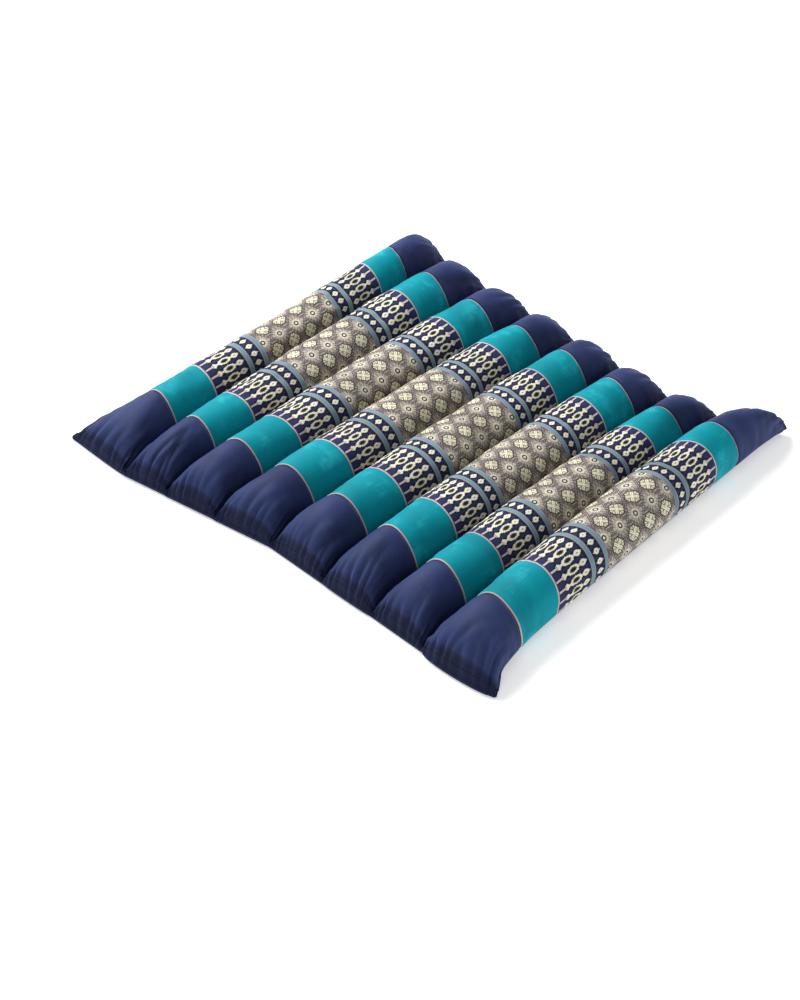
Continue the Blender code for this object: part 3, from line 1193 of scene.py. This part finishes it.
PLAIN_WEAVE = thread_group()
WOVEN_FIGURE = woven_figure_group()
END_CLOTH = plain_cloth("Plain navy cotton of the ends", NAVY, 0.62, 0.26)
UNDER_CLOTH = plain_cloth("Plain navy cotton of the underside", NAVY, 0.62, 0.15)
WOVEN_CLOTH = woven_cloth("Patterned woven cotton", 0.72, 0.03)
THREAD = thread_material("Navy sewing thread", srgb(27, 30, 56))


# Pieces

# Turns of each crown between which its pattern isn't stretched
SEEN_TURNS = (0.55, 2.85)

# The bands' bow along a channel: the sine of the turn less a turn, lowered by a share
BOW_TURN = 0.65
BOW_SHARE = 0.5

# Where the lozenge field starts and ends, as shares of the figured part
FIELD_FROM = 0.309
FIELD_TO = 0.723


def panel_seams(column, row):
    """Y of the two seams across the top, at every point of the grid."""
    channel, turn, slot_share = column
    across = share_across(folded_turn(turn, row))
    front = seam_value(Y_FRONT_PANEL, channel, across, slot_share)
    back = seam_value(Y_BACK_PANEL, channel, across, slot_share)
    return front - CENTRE[1], back - CENTRE[1]


def flat_place(surface, column, row):
    """Place of every point on the flat cloth, in metres, across and along.

    Across is the distance over the surface, shifted on each channel so that a column of flowers lies at the
    channel's flower turn, and eased between channels inside the valleys. Along follows each channel's own
    band widths.
    """
    channel, turn, slot_share = column
    arc = arc_across(surface, surface.shape[0] // 2)
    pitch = FLOWER_PITCH_MM / 1000.0
    knots = []
    places = []
    for number in range(len(CHANNELS)):
        own = (channel == number) & np.isnan(slot_share) & (turn >= 0.0) & (turn <= np.pi)
        low, high, flower = np.interp([*SEEN_TURNS, FLOWER_TURN[number]], turn[own], arc[own])
        shift = -flower if not knots else np.round((places[-1] - knots[-1] + flower) / pitch) * pitch - flower
        knots += [low, high]
        places += [low + shift, high + shift]
    knots = [0.0, *knots, arc[-1]]
    places = [places[0] - (knots[1] - knots[0]), *places, places[-1] + knots[-1] - knots[-2]]
    across = np.interp(arc, knots, places)

    _, y, _, _, _ = plan(column, row)
    front_seam, back_seam = panel_seams(column, row)
    length = back_seam - front_seam
    from_seam = y - front_seam
    bow = BOW_MM[channel] / 1000.0 * (np.sin(np.clip(turn, 0.0, np.pi) - BOW_TURN) - BOW_SHARE)
    half = (FIELD_HALF_MM + 2.0 * STRIPE_MM + DIAMOND_BAND_MM + CHAIN_BAND_MM + PALE_LINE_MM) / 1000.0
    teal = TEAL_MM / 1000.0
    field = FIELD_HALF_MM / 1000.0
    middle = teal + half
    flat_knots = [0.0, teal, middle - field, middle + field, teal + 2.0 * half, 2.0 * middle]
    along = np.empty_like(y)
    middle_row = y.shape[0] // 2
    for number in range(channel.size):
        own = channel[number]
        total = length[middle_row, number]
        front = TEAL_FRONT_MM[own] / 1000.0 + bow[number]
        back = total - TEAL_BACK_MM[own] / 1000.0 + bow[number]
        figured = back - front
        field_ends = [front + FIELD_FROM * figured, front + FIELD_TO * figured]
        real_knots = [0.0, front, *field_ends, back, total]
        along[:, number] = np.interp(from_seam[:, number], real_knots, flat_knots)
    outside = np.minimum(from_seam, 0.0) + np.maximum(from_seam - length, 0.0)
    return np.stack([np.broadcast_to(across, y.shape), along + outside], axis=-1)


# The stitches, the clip that keeps their tips open, and the row that closes the ends, counted from the edge
STITCH_PITCH = 0.0042
STITCH_LENGTH = 0.0034
STITCH_WIDTH = 0.0007
STITCH_SIDES = 6
STITCH_SECTIONS = 5
STITCH_TIP = 0.04
CLOSING_ROW = 3


def stitches_along(path, up):
    """Centres, directions and ups of stitches at an even pitch along a path of points."""
    run = np.concatenate([[0.0], np.cumsum(np.linalg.norm(np.diff(path, axis=0), axis=-1))])
    places = np.arange(STITCH_PITCH, run[-1] - STITCH_PITCH / 2.0, STITCH_PITCH)

    def read(values, at):
        return np.stack([np.interp(at, run, values[:, axis]) for axis in range(3)], axis=-1)

    centres = read(path, places)
    directions = read(path, places + STITCH_LENGTH / 2.0) - read(path, places - STITCH_LENGTH / 2.0)
    directions /= np.linalg.norm(directions, axis=-1, keepdims=True)
    ups = read(up, places)
    ups -= directions * (ups * directions).sum(axis=-1, keepdims=True)
    return centres, directions, ups / np.linalg.norm(ups, axis=-1, keepdims=True)


def stitch_mesh(centres, directions, ups):
    """Stitches as small spindles: a tube over a few sections, whose radius is a half circle's height."""
    round_turn = np.linspace(0.0, 2.0 * np.pi, STITCH_SIDES + 1)[:-1]
    stations = np.linspace(-1.0, 1.0, STITCH_SECTIONS)
    swell = np.sqrt(np.clip(1.0 - stations**2, STITCH_TIP, 1.0))
    side = np.cross(directions, ups)
    ring = np.cos(round_turn)[:, None, None] * side + np.sin(round_turn)[:, None, None] * ups
    along = stations[:, None, None, None] * directions * (STITCH_LENGTH / 2.0)
    points = centres + along + swell[:, None, None, None] * ring * (STITCH_WIDTH / 2.0)
    points = points.transpose(2, 0, 1, 3)
    each = STITCH_SIDES * STITCH_SECTIONS
    base = np.arange(len(centres))[:, None] * each
    first = base[:, :, None] + np.arange(STITCH_SECTIONS - 1)[None, :, None] * STITCH_SIDES
    corner = np.arange(STITCH_SIDES)
    after = (corner + 1) % STITCH_SIDES
    sides = [first + corner, first + after, first + STITCH_SIDES + after, first + STITCH_SIDES + corner]
    quads = np.stack(sides, axis=-1).reshape(-1, 4)
    low_caps = base + corner[::-1]
    high_caps = base + each - STITCH_SIDES + corner
    return points.reshape(-1, 3), quads.tolist() + low_caps.tolist() + high_caps.tolist()


def stitching(name, rows_of_stitches):
    """One piece of sewing thread from several rows of stitches."""
    joined = [np.concatenate(part) for part in zip(*rows_of_stitches)]
    piece = make_piece(name, *stitch_mesh(*joined), THREAD)
    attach(piece, "root")
    return piece


def sew(surface, column, row):
    """The stitches that quilt the valleys, seen above and below, and those that close both ends."""
    _, turn, slot_share = column
    up = normals(surface)
    x, y, _, _, _ = plan(column, row)
    under = np.stack([x, y, underside(column, row)], axis=-1)
    under_up = -normals(under)
    valleys = np.flatnonzero(slot_share == 0.0)
    above = [stitches_along(surface[:, number], up[:, number]) for number in valleys]
    below = [stitches_along(under[:, number], under_up[:, number]) for number in valleys]
    stitching("channel_stitches", above)
    stitching("underside_stitches", below)
    over = (turn >= 0.0) & (turn <= np.pi)
    closing = (CLOSING_ROW, -1 - CLOSING_ROW)
    ends = [stitches_along(surface[number][over], up[number][over]) for number in closing]
    stitching("closing_stitches", ends)


def cushion_grid():
    """The fine grid of the top: its columns, rows, surface, flat places and painted shade of its folds, ends
    and valleys.

    The surface is the filled form plus the relief along its normals.
    """
    column = columns(TURN_STEPS, CREASE_SHARES)
    row = rows(LIP_STEPS, END_STEPS, MIDDLE_STEPS)
    plain = top_surface(column, row)
    flat = flat_place(plain, column, row)
    arc = arc_across(plain, plain.shape[0] // 2)
    relief = pucker_relief(column, row, arc)
    form = filled_form(plain, column, row)
    front_seam, back_seam = panel_seams(column, row)
    relief = relief - seam_groove(plain[..., 1], front_seam) - seam_groove(plain[..., 1], back_seam)
    surface = form + normals(form) * relief[..., None]
    surface[..., 2] = np.maximum(surface[..., 2], LEAST_HEIGHT)
    return column, row, surface, flat, painted_fold_shade(column, row, relief)


def panel(name, node, cloth, span, trims, material):
    """One top panel over a span of rows and columns, half a gap short of the panel that it is sewn to."""
    surface, flat, fold = cloth
    points = surface[span].copy()
    for trim, edge, inner in zip(trims, (0, -1), (1, -2)):
        if trim:
            run = np.linalg.norm(points[inner] - points[edge], axis=-1, keepdims=True)
            points[edge] += (points[inner] - points[edge]) * (GAP / 2.0 / run)
    faces = grid_faces(*points.shape[:2]).tolist()
    piece = make_piece(name, points, faces, material, flat[span], fold[span])
    thicken(piece)
    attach(piece, "root")
    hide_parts(node)
    length = float(np.linalg.norm(np.diff(points, axis=0), axis=-1).sum(axis=0).max())
    return piece


def filled_body(surface, column, row, material):
    """The filled form with its underside cloth, closed all round, under the top panels."""
    top = (surface - normals(surface) * (SHEET + GAP))[:, ::2]
    below = tuple(values[::2] for values in under_columns(column))
    x, y, _, _, _ = plan(below, row)
    under = np.stack([x, y, underside(below, row)], axis=-1)
    top[..., 2] = np.maximum(top[..., 2], LIP_UNDER * LEAST_FILLING)
    row_count, column_count = top.shape[:2]
    size = row_count * column_count
    ring = border(row_count, column_count)
    after = np.roll(ring, -1)
    rim = np.stack([ring + size, after + size, after, ring], axis=-1)
    lower = grid_faces(row_count, column_count, size)[:, ::-1]
    faces = np.concatenate([grid_faces(row_count, column_count), lower, rim]).tolist()
    points = np.concatenate([top.reshape(-1, 3), under.reshape(-1, 3)])
    flat = np.concatenate([top[..., :2].reshape(-1, 2), under[..., :2].reshape(-1, 2)])
    piece = make_piece("filled_body", points, faces, material, flat)
    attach(piece, "root")
    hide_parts("cushion_body")
    return piece


def build_cushion():
    """The filled body, its three top panels and its stitches, all from one grid."""
    column, row, surface, flat, fold = cushion_grid()
    zone = row[0]
    front_seam_row = int(np.argmax(zone == 2))
    back_seam_row = int(len(zone) - 1 - np.argmax(zone[::-1] == 2))
    filled_body(surface, column, row, UNDER_CLOTH)
    every, second = slice(None), slice(None, None, 2)
    front = (slice(0, front_seam_row + 1), every)
    middle = (slice(front_seam_row, back_seam_row + 1), second)
    back = (slice(back_seam_row, surface.shape[0]), every)
    # fold holds the painted shade of the folds, closed ends and valleys
    cloth = (surface, flat, fold)
    panel("front_end_cloth", "end_panel_front", cloth, front, (False, True), END_CLOTH)
    panel("woven_cloth", "woven_panel", cloth, middle, (True, True), WOVEN_CLOTH)
    panel("back_end_cloth", "end_panel_back", cloth, back, (True, False), END_CLOTH)
    sew(surface, column, row)


# Floor, light and camera

CAMERA_TARGET = (0.2832 - CENTRE[0], 0.1633 - CENTRE[1], 0.0)
CAMERA_AZIMUTH = 44.773
CAMERA_ELEVATION = 37.215
CAMERA_DISTANCE = 2.7586
PHOTO_WIDTH_PX = 800
FOCAL_PX = 2999.0
SENSOR_MM = 36.0
FLOOR_HALF = 12.0
FLOOR_DROP = 0.0002
FLOOR_COLOUR = (0.93, 0.93, 0.93, 1.0)
FLOOR_GLOW = 0.42
WORLD_STRENGTH = 0.34
WHITE = (1.0, 1.0, 1.0, 1.0)

# Each lamp: its name, azimuth and elevation in degrees, distance and size in metres, watts and colour
LAMPS = (
    ("Key light", 262.0, 44.0, 2.6, 1.5, 100.0, (1.0, 0.99, 0.98)),
    ("Fill light", 20.0, 60.0, 2.8, 1.6, 7.0, (0.98, 0.99, 1.0)),
    ("Side light", 88.0, 9.0, 2.4, 0.7, 10.0, (1.0, 1.0, 1.0)),
)


def look_back(azimuth, elevation):
    """Direction from what is looked at to the eye, and the turn of a camera or lamp that looks along it."""
    a, e = np.radians(azimuth), np.radians(elevation)
    back = Vector((np.sin(a) * np.cos(e), -np.cos(a) * np.cos(e), np.sin(e)))
    right = Vector((np.cos(a), np.sin(a), 0.0))
    up = back.cross(right)
    return back, Matrix((right, up, back)).transposed()


def place(item, target, azimuth, elevation, distance):
    """Puts a camera or lamp at a distance from a target, looking at it."""
    back, turn = look_back(azimuth, elevation)
    item.matrix_world = Matrix.Translation(Vector(target) + back * distance) @ turn.to_4x4()
    bpy.context.scene.collection.objects.link(item)


def add_camera():
    """The camera at the photograph's angle."""
    camera = bpy.data.cameras.new("Camera")
    camera.sensor_fit = "HORIZONTAL"
    camera.sensor_width = SENSOR_MM
    camera.lens = FOCAL_PX / PHOTO_WIDTH_PX * SENSOR_MM
    item = bpy.data.objects.new("Camera", camera)
    place(item, CAMERA_TARGET, CAMERA_AZIMUTH, CAMERA_ELEVATION, CAMERA_DISTANCE)
    bpy.context.scene.camera = item


def add_lamp(name, azimuth, elevation, distance, size, power, colour):
    """A round soft lamp that looks at the cushion's middle."""
    lamp = bpy.data.lights.new(name, "AREA")
    lamp.shape = "DISK"
    lamp.size = size
    lamp.energy = power
    lamp.color = colour
    place(bpy.data.objects.new(name, lamp), (0.0, 0.0, 0.0), azimuth, elevation, distance)


def add_floor():
    """A wide pale floor just under the cushion, which gives off a little light of its own."""
    corners = np.array([(-1.0, -1.0), (1.0, -1.0), (1.0, 1.0), (-1.0, 1.0)]) * FLOOR_HALF
    points = np.column_stack([corners, np.full(len(corners), -FLOOR_DROP)])
    material, _, shader = new_material("Pale floor")
    set_inputs(shader, {"Base Color": FLOOR_COLOUR, "Roughness": 0.9, "Specular IOR Level": 0.1})
    set_inputs(shader, {"Emission Color": WHITE, "Emission Strength": FLOOR_GLOW})
    make_piece("floor", points, [[0, 1, 2, 3]], material)


def add_light():
    """A white studio around the cushion, and its lamps."""
    world = bpy.data.worlds.new("Studio")
    world.use_nodes = True
    set_inputs(world.node_tree.nodes["Background"], {"Color": WHITE, "Strength": WORLD_STRENGTH})
    bpy.context.scene.world = world
    for lamp in LAMPS:
        add_lamp(*lamp)
    bpy.context.scene.view_settings.view_transform = "Standard"


add_camera()
add_light()
add_floor()
build_cushion()
